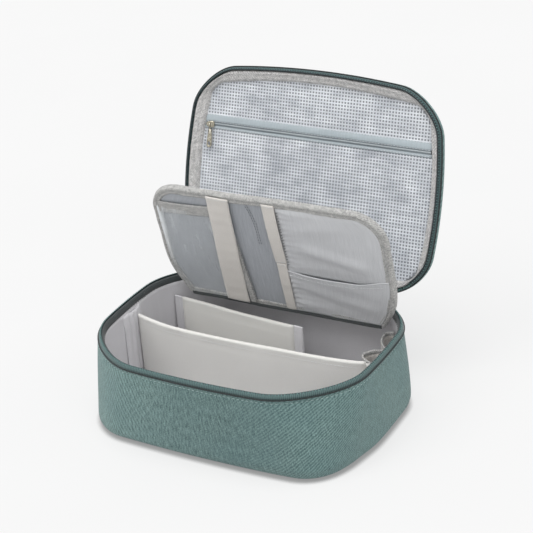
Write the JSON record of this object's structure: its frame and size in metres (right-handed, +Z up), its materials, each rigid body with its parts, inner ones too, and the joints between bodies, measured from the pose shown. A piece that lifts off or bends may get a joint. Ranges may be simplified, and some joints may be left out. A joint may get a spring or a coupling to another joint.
{
  "type": "soft travel organizer case",
  "caption": "Soft zip-round travel case with a mesh-pocket lid, a fold-out panel of straps and pockets, padded dividers and elastic bottle cells.",
  "frame": {"origin": "middle of the underside, on the surface that the case stands on", "axes": "+X right along the long side, +Y towards the lid hinge, +Z up"},
  "size_m": [0.2735, 0.2865, 0.2691],
  "materials": {
    "outer_fabric": "heather oxford weave",
    "foam": "closed-cell foam",
    "stiffener": "thin sheet",
    "lining": "smooth polyester",
    "dark_trim": "woven tape",
    "zip_tape": "woven tape",
    "zip_coil": "nylon coil",
    "hook_tab": "brushed",
    "elastic": "ribbed elastic",
    "binding": "grosgrain",
    "grid_mesh": "clear film with a woven grid",
    "pocket_tape": "woven tape",
    "pocket_coil": "nylon coil",
    "metal": "polished",
    "panel_ground": "smooth polyester",
    "clear_film": "clear vinyl",
    "satin": "satin"
  },
  "bodies": {
    "case": {"base_bottom_fabric": "outer_fabric", "base_wall_fabric": "outer_fabric", "base_wall_foam": "foam", "base_bottom_board": "stiffener", "base_lining_floor": "lining", "base_lining_wall": "lining", "base_rim_piping": "dark_trim", "base_zip_tape": "zip_tape", "base_zip_coil": "zip_coil", "base_rim_binding": "dark_trim", "front_divider": "lining", "front_divider_tab_left": "hook_tab", "front_divider_tab_right": "hook_tab", "rear_divider": "lining", "rear_divider_tab_left": "hook_tab", "rear_divider_tab_right": "hook_tab", "side_pocket_elastic": "elastic", "side_pocket_hem": "elastic", "panel_web": "lining", "main_slider_left": "metal", "main_slider_right": "metal"},
    "lid": {"lid_outer_panel": "outer_fabric", "lid_side_strip": "outer_fabric", "lid_board": "stiffener", "lid_lining": "lining", "lid_rim_piping": "dark_trim", "lid_zip_tape": "zip_tape", "lid_zip_coil": "zip_coil", "lid_binding": "binding", "mesh_pocket_lower": "grid_mesh", "mesh_pocket_upper": "grid_mesh", "pocket_zip_tape_lower": "pocket_tape", "pocket_zip_tape_upper": "pocket_tape", "pocket_zip_coil": "pocket_coil"},
    "panel": {"panel_board": "stiffener", "panel_front_lining": "panel_ground", "panel_back_lining": "lining", "panel_binding": "binding", "brush_cover": "clear_film", "brush_cover_band_top": "binding", "brush_cover_band_side": "binding", "slip_pocket_upper": "satin", "slip_pocket_lower": "satin", "wide_brush_strap": "elastic", "narrow_brush_strap_upper": "elastic", "narrow_brush_strap_lower": "elastic", "panel_foot_tape": "dark_trim"},
    "pocket_slider": {"pocket_slider": "metal"},
    "pocket_pull": {"pocket_pull": "metal"},
    "main_pull_left": {"main_pull_left": "metal"},
    "main_pull_right": {"main_pull_right": "metal"}
  },
  "joints": [
    {"name": "lid_hinge", "type": "hinge", "parent": "case", "child": "lid", "pos_m": [0, 0.0974, 0.086], "axis": [1, 0, 0], "range_deg": [-22, 110.4]},
    {"name": "panel_fold", "type": "hinge", "parent": "case", "child": "panel", "pos_m": [0, 0.063, 0.078], "axis": [1, 0, 0], "range_deg": [-15.5, 76.8]},
    {"name": "pocket_zip", "type": "slide", "parent": "lid", "child": "pocket_slider", "axis": [1, 0, 0], "range_m": [0, 0.218]},
    {"name": "pocket_pull_swing", "type": "hinge", "parent": "pocket_slider", "child": "pocket_pull", "pos_m": [-0.11, 0.1478, 0.20489], "axis": [1, 0, 0], "range_deg": [-120, 0]},
    {"name": "main_pull_left_swing", "type": "hinge", "parent": "case", "child": "main_pull_left", "pos_m": [-0.10315, 0.08488, 0.086], "axis": [0.7826, 0.6225, 0], "range_deg": [0, 100]},
    {"name": "main_pull_right_swing", "type": "hinge", "parent": "case", "child": "main_pull_right", "pos_m": [0.10315, 0.08488, 0.086], "axis": [0.7826, -0.6225, 0], "range_deg": [0, 100]}
  ],
  "couplings": [
    {"joint": "panel_fold", "follows": "lid_hinge", "ratio": 0.69384}
  ]
}
